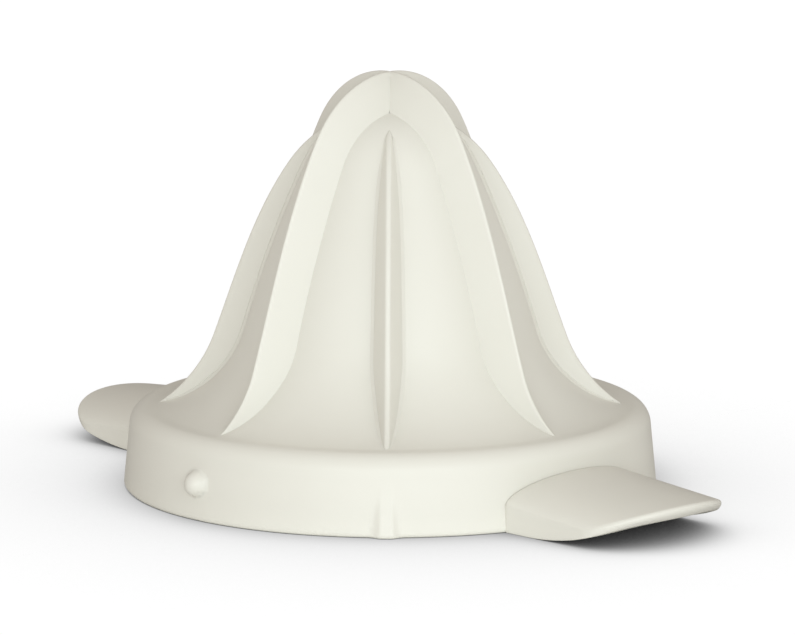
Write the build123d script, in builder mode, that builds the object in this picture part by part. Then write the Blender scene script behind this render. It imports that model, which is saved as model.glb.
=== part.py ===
from build123d import *
import os
from math import asin, cos, degrees, radians, sin, tan

os.makedirs("parts", exist_ok=True)

# Hand citrus press: a finned, hollow cone on a low skirt with two finger lugs, moulded in one piece.
# Each moulded feature is its own solid, and touches its neighbours face to face.
# Millimetres, +Z up, origin on the floor under the apex, front towards -Y. Angles are in degrees.

# Skirt
skirt_radius = 45.0  # outside, at the floor
skirt_height = 13.5  # floor to shoulder
skirt_draft = 5.5  # lean of the outside
skirt_wall = 2.8  # at the floor: the straight inside drops over the rim of a bowl or jug
shoulder_width = 5.4  # outside at the floor in to the cone's foot
shoulder_radius = 4.2
bore_corner_radius = 2.2
wall = 2.0  # cone, shoulder and lugs

# Cone: a dome, a flank tangent to it and a flare that runs out on the shoulder
press_height = 70.2  # floor to the apex, where the tall fins cross
cone_drop = 5.5  # apex down to the top of the cone
cone_dome_radius = 15.2
cone_flare_radius = 19.0
cone_angles = (64.0, 73.5, 10.0)  # fall at the end of the dome, the start of the flare and the foot

# Fins: wedges whose crests follow a profile of the same kind
crest_width = 0.9
flank_draft = 25.2  # each side, from the fin's own plane
flank_lean = 35.0  # fall of the line along which the flanks spread
fin_foot_setback = 0.4  # from the cone's foot in to the end of a crest
tall_dome_radius = 19.6
tall_flare_radius = 19.0
tall_angles = (60.0, 71.0, 33.0)
short_drop = 6.3  # apex down to the top of the short fins' dome, which lies inside the cone
short_dome_radius = 20.5
short_flare_radius = 24.0
short_angles = (55.0, 70.0, 33.0)

# Finger lugs: arched visors, open below, that fall outwards while their lower edges lift off the floor
lug_length = 25.0  # beyond the skirt, at the middle
lug_width = 29.6
lug_end_length = 10.5  # of the half ellipse that ends the lug in plan
lug_spring_height = 3.6  # where the arch stands on the straight sides, at the skirt
lug_rise = 5.2  # of the arch
lug_edge_margin = 0.25  # of the arch beyond each side
lug_fall = 4.8  # of the crown, outwards
lug_standing_length = 2.0  # of the lower edge beyond the skirt, before it leaves the floor
lug_lift_radius = 55.0

# Small features on the outside of the skirt
pip_radius = 1.9
pip_height = 6.3
stop_height = 7.0
stop_base_width = 5.1
stop_face_width = 2.1
stop_depth = 1.2
stop_tip_share = 0.05  # of the wedge's depth and flare that is left at its top

overrun = 1.0  # of cuts past the faces that they cut

bore_radius = skirt_radius - skirt_wall
cone_foot_radius = skirt_radius - shoulder_width
cone_top = press_height - cone_drop
fin_foot_radius = cone_foot_radius - fin_foot_setback
lug_reach = skirt_radius + lug_length
lug_lift_start = skirt_radius + lug_standing_length


def slope_normal(slope):
    # Outward normal of a profile that falls at this slope
    return Vector(sin(radians(slope)), cos(radians(slope)))


def slope_tangent(slope):
    return Vector(cos(radians(slope)), -sin(radians(slope)))


def draw_profile(top, foot_radius, dome_radius, flare_radius, angles, inset=0.0):
    # Draws dome, flank and flare, and returns the ends at the axis and at the foot
    dome_slope, flank_slope, foot_slope = angles
    dome_centre = Vector(0, top - dome_radius)
    flare_centre = Vector(foot_radius, skirt_height) + slope_normal(foot_slope) * flare_radius
    dome = CenterArc(dome_centre, dome_radius - inset, 90 - dome_slope, dome_slope)
    flare = CenterArc(flare_centre, flare_radius + inset, 270 - flank_slope, flank_slope - foot_slope)
    flank_ends = [slope_tangent(dome_slope), slope_tangent(flank_slope)]
    Spline(dome @ 0, flare @ 0, tangents=flank_ends)
    return dome @ 1, flare @ 1


def skirt_face_radius(height):
    return skirt_radius - height * tan(radians(skirt_draft))


def write(piece, name, rotation=0.0):
    with BuildPart() as placed:
        add(piece, rotation=(0, 0, rotation))
    placed.part.label = name
    export_step(placed.part, f"parts/{name}.step")


# Cone: the solid outside form, which trims the fins, and the shell that is kept
with BuildPart() as cone_form:
    with BuildSketch(Plane.XZ):
        with BuildLine():
            top, foot = draw_profile(
                cone_top, cone_foot_radius, cone_dome_radius, cone_flare_radius, cone_angles
            )
            Polyline(foot, (foot.X, 0), (0, 0), top)
        make_face()
    revolve(axis=Axis.Z)

with BuildPart() as cone_shell:
    with BuildSketch(Plane.XZ):
        with BuildLine():
            top, foot = draw_profile(
                cone_top, cone_foot_radius, cone_dome_radius, cone_flare_radius, cone_angles
            )
            inner_top, inner_foot = draw_profile(
                cone_top, cone_foot_radius, cone_dome_radius, cone_flare_radius, cone_angles, wall
            )
            Line(top, inner_top)
            Line(foot, inner_foot)
        make_face()
    revolve(axis=Axis.Z)
write(cone_shell.part, "cone_shell")

# Skirt: the solid outside form, which trims what stands on it, and the ring that is kept
with BuildPart() as skirt_form:
    with BuildSketch(Plane.XZ):
        with BuildLine():
            Polyline(
                (0, 0),
                (skirt_radius, 0),
                (skirt_face_radius(skirt_height), skirt_height),
                (0, skirt_height),
                close=True,
            )
        make_face()
        shoulder = vertices().group_by(Axis.Y)[-1].sort_by(Axis.X)[-1]
        fillet(shoulder, radius=shoulder_radius)
    revolve(axis=Axis.Z)

with BuildPart() as skirt_ring:
    add(skirt_form.part)
    with BuildSketch(Plane.XZ):
        with BuildLine():
            Polyline(
                (0, 0),
                (bore_radius, 0),
                (bore_radius, inner_foot.Y),
                inner_foot,
                foot,
                (0, skirt_height),
                close=True,
            )
        make_face()
        bore_corner = vertices().group_by(Axis.X)[-1].sort_by(Axis.Y)[-1]
        fillet(bore_corner, radius=bore_corner_radius)
    revolve(axis=Axis.Z, mode=Mode.SUBTRACT)
write(skirt_ring.part, "skirt_ring")


def make_fin(top, dome_radius, flare_radius, angles):
    # A crest strip with a slanted prism of the same outline on each side, kept where it is
    # outside the cone and in the fin's own quarter
    spread = [cos(radians(flank_draft)) * value for value in slope_normal(90 - flank_lean)]
    with BuildPart() as fin:
        with BuildSketch(Plane.XZ) as outline:
            with BuildLine():
                crest_top, crest_foot = draw_profile(
                    top, fin_foot_radius, dome_radius, flare_radius, angles
                )
                Polyline(crest_foot, (crest_foot.X, 0), (0, 0), crest_top)
            make_face()
        extrude(amount=crest_width / 2, both=True)
        for side in (-1, 1):
            with BuildSketch(Plane.XZ.offset(side * crest_width / 2)):
                add(outline.sketch_local)
            run = (-spread[0], -side * sin(radians(flank_draft)), -spread[1])
            extrude(amount=cone_dome_radius, dir=run)
        with BuildSketch():
            with BuildLine():
                Polyline((0, 0), (skirt_radius, -skirt_radius), (skirt_radius, skirt_radius), close=True)
            make_face()
        extrude(amount=press_height + overrun, mode=Mode.INTERSECT)
        add(cone_form.part, mode=Mode.SUBTRACT)
    return fin.part


tall_fin = make_fin(press_height, tall_dome_radius, tall_flare_radius, tall_angles)
for name, angle in {"front_right": -45, "back_right": 45, "back_left": 135, "front_left": -135}.items():
    write(tall_fin, f"tall_fin_{name}", angle)

short_fin = make_fin(press_height - short_drop, short_dome_radius, short_flare_radius, short_angles)
for name, angle in {"front": -90, "right": 0, "back": 90, "left": 180}.items():
    write(short_fin, f"short_fin_{name}", angle)


def make_lug_form(inset):
    # The lug's outside, or its hollow when inset: an arch drawn out along its fall, kept inside a
    # plan with a half-elliptical end
    half_width = lug_width / 2 - inset
    half_span = half_width + lug_edge_margin
    with BuildPart() as form:
        with BuildSketch(Plane.YZ.offset(cone_foot_radius)):
            with BuildLine():
                springing = Vector(0, lug_spring_height + shoulder_width * tan(radians(lug_fall)))
                arch = EllipticalCenterArc(springing, half_span, lug_rise - inset, arc_size=180)
                Polyline(arch @ 1, (-half_span, -overrun), (half_span, -overrun), arch @ 0)
            make_face()
        extrude(amount=lug_reach, dir=(cos(radians(lug_fall)), 0, -sin(radians(lug_fall))))
        with BuildSketch():
            with BuildLine():
                end_centre = (lug_reach - lug_end_length, 0)
                end = EllipticalCenterArc(
                    end_centre, lug_end_length - inset, half_width, start_angle=-90, arc_size=180
                )
                Polyline(end @ 1, (cone_foot_radius, half_width), (cone_foot_radius, -half_width), end @ 0)
            make_face()
        extrude(amount=press_height, mode=Mode.INTERSECT)
    return form.part


with BuildPart() as lug:
    add(make_lug_form(0.0))
    add(make_lug_form(wall), mode=Mode.SUBTRACT)
    with BuildSketch(Plane.XZ):
        with BuildLine():
            lift_angle = degrees(asin((lug_reach + overrun - lug_lift_start) / lug_lift_radius))
            lift = JernArc((lug_lift_start, 0), (1, 0), lug_lift_radius, lift_angle)
            Polyline(lift @ 1, ((lift @ 1).X, -overrun), (lug_lift_start, -overrun), lift @ 0)
        make_face()
    extrude(amount=lug_width, both=True, mode=Mode.SUBTRACT)
    add(skirt_form.part, mode=Mode.SUBTRACT)
for name, angle in {"front_right": -45, "back_left": 135}.items():
    write(lug.part, f"finger_lug_{name}", angle)

with BuildPart() as pip:
    with Locations((skirt_face_radius(pip_height), 0, pip_height)):
        Sphere(pip_radius)
    add(skirt_form.part, mode=Mode.SUBTRACT)
for name, angle in {"front_left": -135, "back_right": 45}.items():
    write(pip.part, f"locating_pip_{name}", angle)

with BuildPart() as stop_wedge:
    for height, share in ((0.0, 1.0), (stop_height, stop_tip_share)):
        face_radius = skirt_face_radius(height)
        half_base = (stop_face_width + (stop_base_width - stop_face_width) * share) / 2
        with BuildSketch(Plane.XY.offset(height)):
            with BuildLine():
                Polyline(
                    (bore_radius, -half_base),
                    (face_radius, -half_base),
                    (face_radius + stop_depth * share, -stop_face_width / 2),
                    (face_radius + stop_depth * share, stop_face_width / 2),
                    (face_radius, half_base),
                    (bore_radius, half_base),
                    close=True,
                )
            make_face()
    loft(ruled=True)
    add(skirt_form.part, mode=Mode.SUBTRACT)
for name, angle in {"front": -90, "back": 90}.items():
    write(stop_wedge.part, f"stop_wedge_{name}", angle)
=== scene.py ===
import bpy, bmesh, math
import numpy as np
from mathutils import Matrix, Vector


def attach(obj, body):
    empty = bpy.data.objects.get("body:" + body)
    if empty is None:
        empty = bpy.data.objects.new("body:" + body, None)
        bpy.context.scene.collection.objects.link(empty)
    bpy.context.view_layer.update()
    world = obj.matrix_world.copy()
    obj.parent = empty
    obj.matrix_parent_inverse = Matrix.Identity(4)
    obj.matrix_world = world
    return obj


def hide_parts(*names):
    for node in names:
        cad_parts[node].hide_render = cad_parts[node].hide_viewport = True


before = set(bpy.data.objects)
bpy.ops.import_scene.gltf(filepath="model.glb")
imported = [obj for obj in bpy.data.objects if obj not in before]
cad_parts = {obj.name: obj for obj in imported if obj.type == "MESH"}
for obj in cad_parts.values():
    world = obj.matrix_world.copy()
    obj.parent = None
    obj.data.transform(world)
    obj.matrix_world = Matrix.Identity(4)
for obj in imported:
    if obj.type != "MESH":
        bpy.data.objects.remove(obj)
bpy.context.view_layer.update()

scene = bpy.context.scene
mm = 0.001
tiny = 1e-6  # keeps divisions and signs off zero
print("frame loaded:", len(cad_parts), "nodes")


# shader helper: wraps a socket so that maths on values reads as maths
class Sock:
    def __init__(self, tree, socket=None):
        self.tree, self.socket = tree, socket

    def node(self, kind, settings=None, **inputs):
        made = self.tree.nodes.new(kind)
        for key, value in (settings or {}).items():
            setattr(made, key, value)
        for key, value in inputs.items():
            # i6 is the input at index 6, and Base_Color the one called Base Color
            place = int(key[1:]) if key[0] == "i" and key[1:].isdigit() else key.replace("_", " ")
            if isinstance(value, Sock):
                self.tree.links.new(value.socket, made.inputs[place])
            else:
                made.inputs[place].default_value = value
        return made

    def out(self, kind, settings=None, output=0, **inputs):
        return Sock(self.tree, self.node(kind, settings, **inputs).outputs[output])

    def mix(self, share, first, second):
        return self.out("ShaderNodeMix", {"data_type": "RGBA"}, output=2, i0=share, i6=first, i7=second)

    def rays(self):
        path = self.node("ShaderNodeLightPath")
        return [Sock(self.tree, path.outputs[name]) for name in ("Is Camera Ray", "Is Glossy Ray")]

    def maths(self, operation, first, second):
        return self.out("ShaderNodeMath", {"operation": operation}, i0=first, i1=second)

    def __add__(self, other):
        return self.maths("ADD", self, other)

    def __radd__(self, other):
        return self.maths("ADD", other, self)

    def __sub__(self, other):
        return self.maths("SUBTRACT", self, other)

    def __rsub__(self, other):
        return self.maths("SUBTRACT", other, self)

    def __mul__(self, other):
        return self.maths("MULTIPLY", self, other)

    def __rmul__(self, other):
        return self.maths("MULTIPLY", other, self)


def newMaterial(name):
    mat = bpy.data.materials.new(name)
    mat.use_nodes = True
    tree = mat.node_tree
    tree.nodes.clear()
    return mat, Sock(tree), tree.nodes.new("ShaderNodeOutputMaterial")


# cream moulded plastic: satin, with a faint cloudiness, a fine mould grain and painted shade darkening its
# creases and corners
plastic = {
    "colour": (0.77, 0.75, 0.676, 1),
    "cloud": (0.752, 0.73, 0.652, 1),
    "cloudSize": 60.0,
    "cloudDetail": 3.0,
    "roughness": 0.46,
    "roughnessSpread": 0.08,
    "ior": 1.49,
    "grainSize": 2600.0,
    "grainDetail": 2.0,
    "grainDepth": 0.00003,
    "grainStrength": 0.16,
    # dark grey of the painted shade in creases, corners and recesses
    "paintedShadeColour": (0.38, 0.365, 0.32, 1),
    "paintedShadeReach": 0.008,
    "paintedShadeShare": 0.4,
    "paintedShadeStart": (0.002, 0.008),  # heights between which the painted shade in creases sets in, clear of the floor
}


def makePlastic():
    mat, sock, output = newMaterial("creamPlastic")
    place = sock.out("ShaderNodeTexCoord", output="Object")
    cloud = sock.out(
        "ShaderNodeTexNoise", Vector=place, Scale=plastic["cloudSize"], Detail=plastic["cloudDetail"]
    )
    grain = sock.out(
        "ShaderNodeTexNoise", Vector=place, Scale=plastic["grainSize"], Detail=plastic["grainDetail"]
    )
    height = sock.out("ShaderNodeSeparateXYZ", output="Z", Vector=place)
    low, high = plastic["paintedShadeStart"]
    clear = sock.out("ShaderNodeMapRange", Value=height, From_Min=low, From_Max=high)
    openness = sock.out("ShaderNodeAmbientOcclusion", output="AO", Distance=plastic["paintedShadeReach"])
    colour = sock.mix(cloud, plastic["cloud"], plastic["colour"])
    # painted shade: the colour darkens towards the grey where ambient occlusion finds surfaces close by, in
    # creases, corners and recesses
    colour = sock.mix((1 - openness) * clear * plastic["paintedShadeShare"], colour, plastic["paintedShadeColour"])
    roughness = plastic["roughness"] + (cloud - 0.5) * plastic["roughnessSpread"]
    bump = sock.out(
        "ShaderNodeBump", Height=grain, Strength=plastic["grainStrength"], Distance=plastic["grainDepth"]
    )
    shader = sock.node(
        "ShaderNodeBsdfPrincipled", Base_Color=colour, Roughness=roughness, IOR=plastic["ior"], Normal=bump
    )
    sock.tree.links.new(shader.outputs[0], output.inputs[0])
    return mat


creamPlastic = makePlastic()
print("plastic mixed")


def addObject(name, data):
    obj = bpy.data.objects.new(name, data)
    scene.collection.objects.link(obj)
    return obj


def finishPiece(bm, name):
    for face in bm.faces:
        face.smooth = True
    mesh = bpy.data.meshes.new(name)
    bm.to_mesh(mesh)
    bm.free()
    mesh.materials.append(creamPlastic)
    print(name, "made:", len(mesh.polygons), "faces")
    return addObject(name, mesh)


# press body: cone and skirt in one skin, spun from one section, with pips and wedges raised on it
# sizes are in millimetres and degrees
skirt = {
    "radius": 45.0,
    "height": 13.5,
    "draft": 5.5,
    "wall": 2.8,
    "shoulderWidth": 5.4,
    "shoulderRadius": 3.2,
    "boreCorner": 2.2,
    "edgeRadius": 0.6,
    "shoulderPoints": 14,
    "facePoints": 38,
    "edgePoints": 4,
    "borePoints": 6,
    "cornerPoints": 7,
}
cone = {
    "top": 64.7,
    "domeRadius": 15.2,
    "flareRadius": 19.0,
    "angles": (64.0, 73.5, 10.0),  # fall at the end of the dome, the start of the flare and the foot
    "wall": 2.0,
    "outsidePoints": (20, 32, 24),  # on dome, flank and flare
    "insidePoints": (12, 14, 12),
    "steps": 320,
    "spots": 8,  # places round the skirt that can carry a pip or a wedge
    "gather": 0.78,  # how far the steps crowd towards those places
    "mergeGap": 1e-7,
}
pips = {"radius": 2.15, "height": 6.2, "blend": 0.5, "runOff": 2.0, "angles": (-135, 45)}
wedges = {
    "height": 7.0,
    "baseWidth": 5.1,
    "faceWidth": 2.1,
    "depth": 1.05,
    "tipShare": 0.05,
    "blend": 0.3,
    "angles": (-90, 90),
}
footRadius = skirt["radius"] - skirt["shoulderWidth"]
boreRadius = skirt["radius"] - skirt["wall"]
draftSlope = math.tan(math.radians(skirt["draft"]))


def arcPoints(centre, radius, startAngle, endAngle, count):
    turn = np.radians(np.linspace(startAngle, endAngle, count))
    return np.stack([centre[0] + radius * np.cos(turn), centre[1] + radius * np.sin(turn)], 1)


def hermite(start, end, startDirection, endDirection, count):
    # the curve between two points whose end tangents are as long as the gap between them
    span = np.linalg.norm(end - start)
    t = np.linspace(0, 1, count)[:, None]
    return (
        (2 * t**3 - 3 * t**2 + 1) * start + (t**3 - 2 * t**2 + t) * span * startDirection
        + (-2 * t**3 + 3 * t**2) * end + (t**3 - t**2) * span * endDirection
    )


def bellProfile(shape, foot, counts, inset=0.0):
    # radius and height of dome, flank and flare, from the axis out to the foot
    top, domeRadius, flareRadius = shape["top"], shape["domeRadius"], shape["flareRadius"]
    domeFall, flankFall, footFall = shape["angles"]
    footNormal = np.array([math.sin(math.radians(footFall)), math.cos(math.radians(footFall))])
    flareCentre = np.array([foot, skirt["height"]]) + footNormal * flareRadius
    dome = arcPoints((0, top - domeRadius), domeRadius - inset, 90, 90 - domeFall, counts[0])
    flare = arcPoints(flareCentre, flareRadius + inset, 270 - flankFall, 270 - footFall, counts[2])
    ends = [np.array([math.cos(math.radians(a)), -math.sin(math.radians(a))]) for a in (domeFall, flankFall)]
    flank = hermite(dome[-1], flare[0], ends[0], ends[1], counts[1])
    return np.concatenate([dome, flank[1:-1], flare])


def softMax(a, b, width):
    return np.maximum(a, b) + np.maximum(width - np.abs(a - b), 0) ** 2 / (4 * width)


def skirtFace(height):
    return skirt["radius"] - height * draftSlope


def bodyProfile():
    # the section: outside from the axis to the floor, and inside back up to the axis
    outside = bellProfile(cone, footRadius, cone["outsidePoints"])
    inside = bellProfile(cone, footRadius, cone["insidePoints"], cone["wall"])
    curve, edge, corner = skirt["shoulderRadius"], skirt["edgeRadius"], skirt["boreCorner"]
    curveZ = skirt["height"] - curve
    curveX = skirtFace(curveZ) - curve / math.cos(math.radians(skirt["draft"]))
    shoulder = arcPoints((curveX, curveZ), curve, 90, skirt["draft"], skirt["shoulderPoints"])
    face = np.linspace(shoulder[-1], (skirtFace(edge), edge), skirt["facePoints"])[1:]
    lowerEdge = arcPoints((skirtFace(edge) - edge, edge), edge, 0, -90, skirt["edgePoints"])[1:]
    ceiling = inside[-1][1]
    boreFoot = arcPoints((boreRadius + edge, edge), edge, 270, 180, skirt["edgePoints"])
    boreWall = np.linspace((boreRadius, edge), (boreRadius, ceiling - corner), skirt["borePoints"])[1:]
    cornerCentre = (boreRadius - corner, ceiling - corner)
    boreCorner = arcPoints(cornerCentre, corner, 0, 90, skirt["cornerPoints"])[1:]
    rows = [outside, shoulder, face, lowerEdge, boreFoot, boreWall, boreCorner, inside[::-1]]
    return np.concatenate(rows), len(outside), len(outside) + len(shoulder) + len(face) + len(lowerEdge)


def pipRise(across, height):
    away = across**2 + (height - pips["height"]) ** 2
    dome = np.sqrt(np.maximum(pips["radius"] ** 2 - away, 0))
    return dome - np.maximum(np.sqrt(away) - pips["radius"], 0) * pips["runOff"]


def wedgeRise(across, height):
    share = 1 - (1 - wedges["tipShare"]) * height / wedges["height"]
    flare = (wedges["baseWidth"] - wedges["faceWidth"]) / 2
    return wedges["depth"] * np.minimum(share, share - (np.abs(across) - wedges["faceWidth"] / 2) / flare)


def makePressBody():
    profile, coneRows, skirtRows = bodyProfile()
    bm = bmesh.new()
    rowLayer = bm.verts.layers.int.new("row")
    verts = [bm.verts.new((r * mm, 0, z * mm)) for r, z in profile]
    edges = [bm.edges.new(pair) for pair in zip(verts, verts[1:])]
    for row, vert in enumerate(verts):
        vert[rowLayer] = row
    bmesh.ops.spin(
        bm, geom=verts + edges, cent=(0, 0, 0), axis=(0, 0, 1), angle=math.tau,
        steps=cone["steps"], use_merge=True, use_normal_flip=False,
    )
    bm.verts.ensure_lookup_table()
    rows = np.array([v[rowLayer] for v in bm.verts])
    place = np.array([v.co for v in bm.verts]) / mm
    angle = np.arctan2(place[:, 1], place[:, 0])
    angle = angle - cone["gather"] * np.sin(cone["spots"] * angle) / cone["spots"]
    radius, height = profile[rows].T
    onSkirt = (rows >= coneRows) & (rows < skirtRows)
    rise = np.zeros(len(rows))
    for bumps, bumpRise in ((pips, pipRise), (wedges, wedgeRise)):
        for spot in bumps["angles"]:
            away = angle - math.radians(spot)
            near = onSkirt & (np.cos(away) > 0)
            bump = bumpRise(radius * np.sin(away), height)
            rise = np.where(near, softMax(rise, bump, bumps["blend"]), rise)
    for vert, turn, r, z in zip(bm.verts, angle, radius + rise, height):
        vert.co = (r * math.cos(turn) * mm, r * math.sin(turn) * mm, z * mm)
    bmesh.ops.remove_doubles(bm, verts=bm.verts, dist=cone["mergeGap"])
    bmesh.ops.recalc_face_normals(bm, faces=bm.faces)
    return finishPiece(bm, "pressBody")


pressBody = makePressBody()
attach(pressBody, "root")
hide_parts(*[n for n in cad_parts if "fin_" not in n and "lug" not in n])


# fins: a grid for each, folded over its crest, run down its flanks and let into the cone
fins = {
    "draft": 25.2,
    "lean": 35.0,
    "footSetback": 0.4,
    "sunkFoot": 0.3,
    "browWidth": 0.65,  # how far the finer columns run from the crest
    "browShares": (0, 0.25, 0.45, 0.57, 0.69, 0.81, 1),
    "endFade": 1.6,  # half widths and gaps over which the step at the foot fades out
    "joinFade": 1.2,
    "rows": 120,
    "flankColumns": 8,
    "sharpColumns": 3,  # at the foot
    "widest": 14.0,  # half width at which the search for the foot starts
    "halvings": 40,
    "conePoints": (200, 300, 200),
    "crestPoints": (400, 600, 400),
    "mergeGap": 1e-6,
    "tall": {
        "top": 70.2, "domeRadius": 19.6, "flareRadius": 19.0, "angles": (60.0, 71.0, 33.0),
        "crestWidth": 0.45, "crestRound": 0.2, "point": 0.0,
        "footStep": (0.0, 0.0), "footStrip": (0.0, 0.0), "turns": (-45, 45, 135, -135),
    },
    "short": {
        "top": 63.9, "domeRadius": 20.5, "flareRadius": 24.0, "angles": (55.0, 70.0, 33.0),
        "crestWidth": 0.85, "crestRound": 0.25, "point": 2.2,
        "footStep": (0.1, 0.16), "footStrip": (0.5, 0.4), "turns": (-90, 0, 90, 180),
    },
}
coneRadii, coneHeights = bellProfile(cone, footRadius, fins["conePoints"]).T
coneSlopes = np.gradient(coneRadii, coneHeights)


def coneReach(height):
    return np.interp(height, coneHeights[::-1], coneRadii[::-1], right=0.0)


def unit(vectors):
    return vectors / np.maximum(np.linalg.norm(vectors, axis=1), tiny)[:, None]


def crestRows(kind):
    # evenly spaced points of the crest, as far as it stands out of the cone, and its half width
    crest = bellProfile(kind, footRadius - fins["footSetback"], fins["crestPoints"])
    crest = crest[crest[:, 0] >= coneReach(crest[:, 1])]
    run = np.concatenate([[0], np.cumsum(np.linalg.norm(np.diff(crest, axis=0), axis=1))])
    even = np.linspace(0, run[-1], fins["rows"] + 1)
    half = kind["crestWidth"] / 2 * np.minimum(even / max(kind["point"], tiny), 1)
    return np.stack([np.interp(even, run, crest[:, 0]), np.interp(even, run, crest[:, 1]), half], 1)


def flankPoint(kind, crest, across):
    # along, across and height where the skin has come this far from the fin's own plane
    drop = softMax(across - crest[:, 2], 0, kind["crestRound"]) / math.tan(math.radians(fins["draft"]))
    lean = math.radians(fins["lean"])
    return np.stack([crest[:, 0] - drop * math.cos(lean), across, crest[:, 1] - drop * math.sin(lean)], 1)


def finSection(kind):
    # one side of the fin: rows down the crest, columns from the crest to the sunk foot
    crest = crestRows(kind)
    low, high = np.zeros(len(crest)), np.full(len(crest), fins["widest"])
    for _ in range(fins["halvings"]):
        across = (low + high) / 2
        at = flankPoint(kind, crest, across)
        clear = (np.hypot(at[:, 0], across) > coneReach(at[:, 2])) & (at[:, 0] > across)
        low, high = np.where(clear, across, low), np.where(clear, high, across)
    foot = flankPoint(kind, crest, low)
    # each flank ends on a small step and a narrow strip, which fade out at the fin's ends and
    # where two fins meet
    atEnd = np.clip(low / fins["endFade"], 0, 1)
    atJoin = np.clip((foot[:, 0] - low) / fins["joinFade"], 0, 1)
    fade = (atEnd * atJoin)[:, None]
    reach = np.hypot(foot[:, 0], foot[:, 1])
    slope = np.interp(foot[:, 2], coneHeights[::-1], coneSlopes[::-1])
    outward = unit(np.stack([foot[:, 0], foot[:, 1], -slope * reach], 1))
    aside = unit(np.cross(np.gradient(foot, axis=0), outward))
    aside *= np.sign(aside[:, 1:2] + tiny)
    brow = np.minimum(low, fins["browWidth"])
    columns = [flankPoint(kind, crest, brow * share) for share in fins["browShares"]]
    flankTop = columns[-1]
    stepOut, stepIn = kind["footStep"]
    stripUp, stripOut = kind["footStrip"]
    ledge = foot + (outward * stepOut + unit(flankTop - foot) * stripUp) * fade
    for step in range(1, fins["flankColumns"] + 1):
        columns.append(flankTop + (ledge - flankTop) * step / fins["flankColumns"])
    toe = foot + aside * stripOut * fade
    columns += [ledge - outward * stepIn * fade, toe, toe - outward * fins["sunkFoot"] * fade]
    return np.stack(columns, 1)


def makeFins():
    bm = bmesh.new()
    for kind in (fins["tall"], fins["short"]):
        section = finSection(kind)
        rows, half = section.shape[0] - 1, section.shape[1] - 1
        for turn in kind["turns"]:
            verts = bmesh.ops.create_grid(bm, x_segments=rows, y_segments=2 * half, size=1.0)["verts"]
            columnOf = {}
            for vert in verts:
                row, column = round((vert.co.x + 1) / 2 * rows), round(vert.co.y * half)
                along, across, height = section[row, abs(column)]
                columnOf[vert] = abs(column)
                vert.co = Vector((along, math.copysign(across, column), height)) * mm
            for edge in {e for v in verts for e in v.link_edges}:
                first, second = (columnOf[v] for v in edge.verts)
                edge.smooth = not (first == second and first >= half - fins["sharpColumns"])
            spin = Matrix.Rotation(math.radians(turn), 3, "Z")
            bmesh.ops.rotate(bm, cent=(0, 0, 0), matrix=spin, verts=verts)
    bmesh.ops.remove_doubles(bm, verts=bm.verts, dist=fins["mergeGap"])
    bmesh.ops.recalc_face_normals(bm, faces=bm.faces)
    return finishPiece(bm, "pressFins")


pressFins = makeFins()
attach(pressFins, "root")
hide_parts(*[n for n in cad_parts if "fin_" in n])


# finger lugs: an outer and an inner grid, each bent into a visor and walled round, joined at the
# rim and at the root
lug = {
    "reach": 69.98,
    "halfWidth": 14.79,
    "endLength": 10.5,
    "spring": 3.6,
    "rise": 5.2,
    "edgeMargin": 0.25,
    "fall": 4.8,
    "liftStart": 47.0,
    "liftRadius": 50.0,
    "wall": 2.0,
    "lipHeight": 4.85,  # of the lower edge across the end
    "lipBlend": 1.6,
    "grooveWidth": 0.35,
    "grooveDepth": 0.3,
    "sunkRoot": 0.25,
    "brow": 0.5,  # rounding of the top's edge
    "rimRound": 0.3,
    "rimSegments": 3,
    "undercut": 1.1,  # of the wall across the end
    "columns": 56,
    "rows": 46,
    "wallRows": 5,
    "places": {
        "fingerLugFrontRight": ("finger_lug_front_right", -45),
        "fingerLugBackLeft": ("finger_lug_back_left", 135),
    },
}
lugEndStart = lug["reach"] - lug["endLength"]


def lowerEdgeHeight(along):
    # lifts off the floor on an arc and levels out across the end
    distance = max(along - lug["liftStart"], 0.0)
    lift = lug["liftRadius"] - math.sqrt(lug["liftRadius"] ** 2 - distance**2)
    return -float(softMax(-lift, -lug["lipHeight"], lug["lipBlend"]))


def lugTop(along, across, inset):
    # height of the arch, and the normal of its section there
    span = lug["halfWidth"] + lug["edgeMargin"] - inset
    rise = lug["rise"] - inset
    share = math.sqrt(max(1 - (across / span) ** 2, 0.0))
    normal = Vector((across / span**2, share / rise)).normalized()
    fall = (along - skirt["radius"]) * math.tan(math.radians(lug["fall"]))
    return lug["spring"] + rise * share - fall, normal


def edgeDistance(along, across, inset):
    # plan distance in from the lug's outline
    halfWidth, endLength = lug["halfWidth"] - inset, lug["endLength"] - inset
    past = along - lugEndStart
    if past <= 0:
        return halfWidth - abs(across)
    reach = math.hypot(past / endLength, across / halfWidth)
    return (1 - reach) * reach / math.hypot(past / endLength**2, across / halfWidth**2)


def rootGroove(along, across, height):
    # how far the skin dips in the fine groove along the skirt
    near = math.hypot(along, across) - skirtFace(height)
    return lug["grooveDepth"] * min(max(1 - near / lug["grooveWidth"], 0.0), 1.0)


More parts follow.
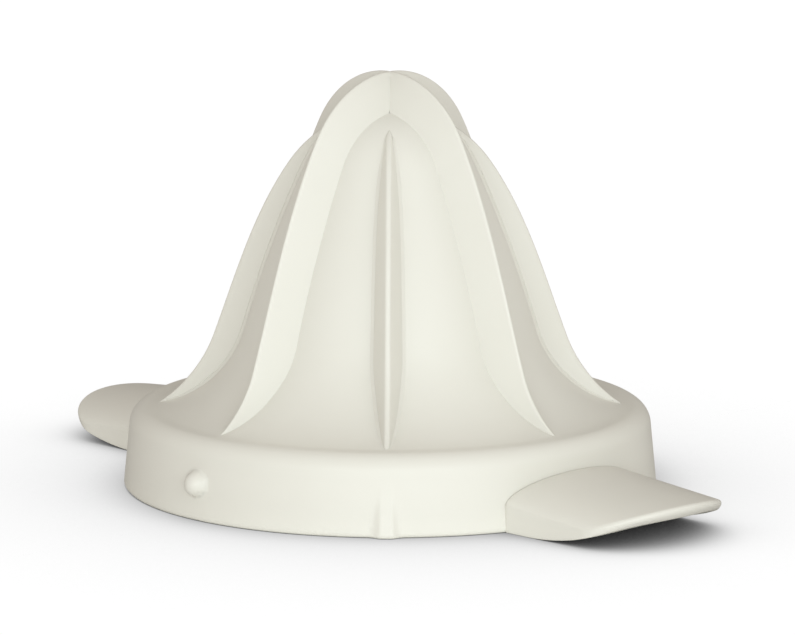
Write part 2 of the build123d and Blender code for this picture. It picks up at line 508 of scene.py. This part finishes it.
def lugSkin(bm, inset, brow, undercut, grooved):
    # returns the open edges of its rim, and those of its root, which lies inside the skirt
    before = set(bm.edges)
    halfWidth, endLength = lug["halfWidth"] - inset, lug["endLength"] - inset
    verts = bmesh.ops.create_grid(bm, x_segments=lug["rows"], y_segments=lug["columns"], size=1.0)["verts"]
    rootVerts = {v for v in verts if v.co.x < tiny - 1}  # the grid runs from -1 to 1
    openEdges = [e for e in {e for v in verts for e in v.link_edges} if e.is_boundary]
    rim = [e for e in openEdges if not all(v in rootVerts for v in e.verts)]
    for vert in verts:
        ahead = (1 - math.cos((vert.co.x + 1) * math.pi / 2)) / 2  # rows crowd towards root and end
        swing = vert.co.y * math.pi / 2
        across = halfWidth * math.sin(swing)
        end = lugEndStart + endLength * math.cos(swing)
        height, normal = lugTop(skirt["radius"], across, inset)
        start = math.sqrt((skirtFace(height) - lug["sunkRoot"]) ** 2 - across**2)
        along = start + (end - start) * ahead
        height, normal = lugTop(along, across, inset)
        close = max(brow - edgeDistance(along, across, inset), 0.0)
        height -= normal.y**2 * (brow - math.sqrt(max(brow**2 - close**2, 0.0)))
        groove = rootGroove(along, across, height) if grooved else 0.0
        vert.co = (along, across - normal.x * groove, height - normal.y * groove)
    for step in range(lug["wallRows"]):
        made = bmesh.ops.extrude_edge_only(bm, edges=rim)["geom"]
        lower = {g for g in made if isinstance(g, bmesh.types.BMVert)}
        rim = [g for g in made if isinstance(g, bmesh.types.BMEdge) and all(v in lower for v in g.verts)]
        share = 1 / (lug["wallRows"] - step)
        tuck = undercut * (2 * step + 1) / lug["wallRows"] ** 2  # more with each row down
        for vert in lower:
            past = max(vert.co.x + tuck * step - lugEndStart, 0.0) / lug["endLength"]
            vert.co.z += (lowerEdgeHeight(vert.co.x) - vert.co.z) * share
            vert.co.x -= tuck * min(past, 1.0)
    root = [e for e in bm.edges if e.is_boundary and e not in before and e not in rim]
    return rim, root


def makeLug(name, turn):
    bm = bmesh.new()
    outerRim, outerRoot = lugSkin(bm, 0.0, lug["brow"], lug["undercut"], True)
    innerRim, innerRoot = lugSkin(bm, lug["wall"], lug["brow"] / 2, 0.0, False)
    bmesh.ops.bridge_loops(bm, edges=outerRim + innerRim)
    bmesh.ops.bridge_loops(bm, edges=outerRoot + innerRoot)
    bmesh.ops.recalc_face_normals(bm, faces=bm.faces)
    bmesh.ops.bevel(
        bm, geom=outerRim, offset=lug["rimRound"], offset_type="OFFSET", segments=lug["rimSegments"],
        profile=0.5, affect="EDGES", material=-1, clamp_overlap=True,
    )
    bmesh.ops.scale(bm, vec=(mm, mm, mm), verts=bm.verts)
    bmesh.ops.rotate(bm, cent=(0, 0, 0), matrix=Matrix.Rotation(math.radians(turn), 3, "Z"), verts=bm.verts)
    return finishPiece(bm, name)


for name, (node, turn) in lug["places"].items():
    fingerLug = makeLug(name, turn)
    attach(fingerLug, "root")
    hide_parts(node)


# studio: pale floor, white surround, a broad low lamp by the camera and three weak ones
stage = {
    "floorSize": 6.0,
    "floorColour": (0.93, 0.93, 0.93, 1),
    "floorWhite": 1.03,
    "shadowReach": 0.12,
    "worldColour": (1.0, 0.939, 0.889, 1),
    "worldStrength": 0.63,
    "glossStrength": 0.1,
    "white": (1, 1, 1, 1),
    "lampColour": (0.864, 0.958, 1.0),
    "lampAim": (0, 0, 0.03),
    "lamps": {  # place, size and power
        "keyLamp": ((0.13, -1.24, 0.25), (1.9, 0.45), 8.3),
        "rightLamp": ((0.75, -1.0, 0.42), (0.9, 0.9), 1.85),
        "leftLamp": ((-0.6, -1.1, 0.42), (0.9, 0.9), 1.2),
        "topLamp": ((0, 0, 1.25), (0.9, 0.9), 0.6),
    },
}


def makeFloor():
    bm = bmesh.new()
    bmesh.ops.create_grid(bm, x_segments=1, y_segments=1, size=stage["floorSize"])
    mesh = bpy.data.meshes.new("floor")
    bm.to_mesh(mesh)
    bm.free()
    mat, sock, output = newMaterial("paleFloor")
    seen, glossy = sock.rays()
    matt = sock.out("ShaderNodeBsdfDiffuse", Color=stage["floorColour"])
    # seen from the camera the floor is white, and darkens only close to the object
    shade = sock.out("ShaderNodeAmbientOcclusion", output="Color", Distance=stage["shadowReach"])
    level = seen * stage["floorWhite"] + glossy * stage["glossStrength"]
    white = sock.out("ShaderNodeEmission", Color=shade, Strength=level)
    both = sock.node("ShaderNodeMixShader", i0=seen + glossy, i1=matt, i2=white)
    sock.tree.links.new(both.outputs[0], output.inputs[0])
    mesh.materials.append(mat)
    return addObject("floor", mesh)


def makeWorld():
    world = bpy.data.worlds.new("studio")
    scene.world = world
    world.use_nodes = True
    tree = world.node_tree
    tree.nodes.clear()
    sky = Sock(tree)
    seen, glossy = sky.rays()
    light, gloss = stage["worldStrength"], stage["glossStrength"]
    strength = light + seen * (1 - light) + glossy * (gloss - light)
    tint = sky.mix(seen + glossy, stage["worldColour"], stage["white"])
    surround = sky.node("ShaderNodeBackground", Color=tint, Strength=strength)
    tree.links.new(surround.outputs[0], tree.nodes.new("ShaderNodeOutputWorld").inputs[0])


def makeLamp(name, place, size, power):
    data = bpy.data.lights.new(name, "AREA")
    data.shape, data.energy, data.color = "ELLIPSE", power, stage["lampColour"]
    data.size, data.size_y = size
    lamp = addObject(name, data)
    lamp.location = place
    lamp.rotation_euler = (Vector(stage["lampAim"]) - Vector(place)).to_track_quat("-Z", "Y").to_euler()


floor = makeFloor()
makeWorld()
for name, settings in stage["lamps"].items():
    makeLamp(name, *settings)
print("studio lit:", len(stage["lamps"]), "lamps")


# camera: long lens, a little above the rim
view = {
    "aimHeight": 0.027,
    "distance": 1.26,
    "elevation": 10.75,
    "azimuth": 0.83,
    "pixelsPerMetre": 5936.0,
    "aimPixel": (390.1, 324.6),
    "picture": (795, 635),
    "sensor": 36.0,
    "clip": (0.05, 50.0),
}


def makeCamera():
    cam = bpy.data.cameras.new("camera")
    wide, high = view["picture"]
    cam.sensor_width = view["sensor"]
    cam.lens = view["distance"] * view["pixelsPerMetre"] * view["sensor"] / wide
    cam.shift_x = (wide / 2 - view["aimPixel"][0]) / wide
    cam.shift_y = (view["aimPixel"][1] - high / 2) / wide
    cam.clip_start, cam.clip_end = view["clip"]
    turn, tilt = math.radians(view["azimuth"]), math.radians(view["elevation"])
    back = Vector((math.sin(turn) * math.cos(tilt), -math.cos(turn) * math.cos(tilt), math.sin(tilt)))
    camera = addObject("camera", cam)
    camera.location = Vector((0, 0, view["aimHeight"])) + back * view["distance"]
    camera.rotation_euler = (-back).to_track_quat("-Z", "Y").to_euler()
    return camera


scene.camera = makeCamera()
scene.view_settings.view_transform = "Standard"
print("camera set")

print("scene ready")
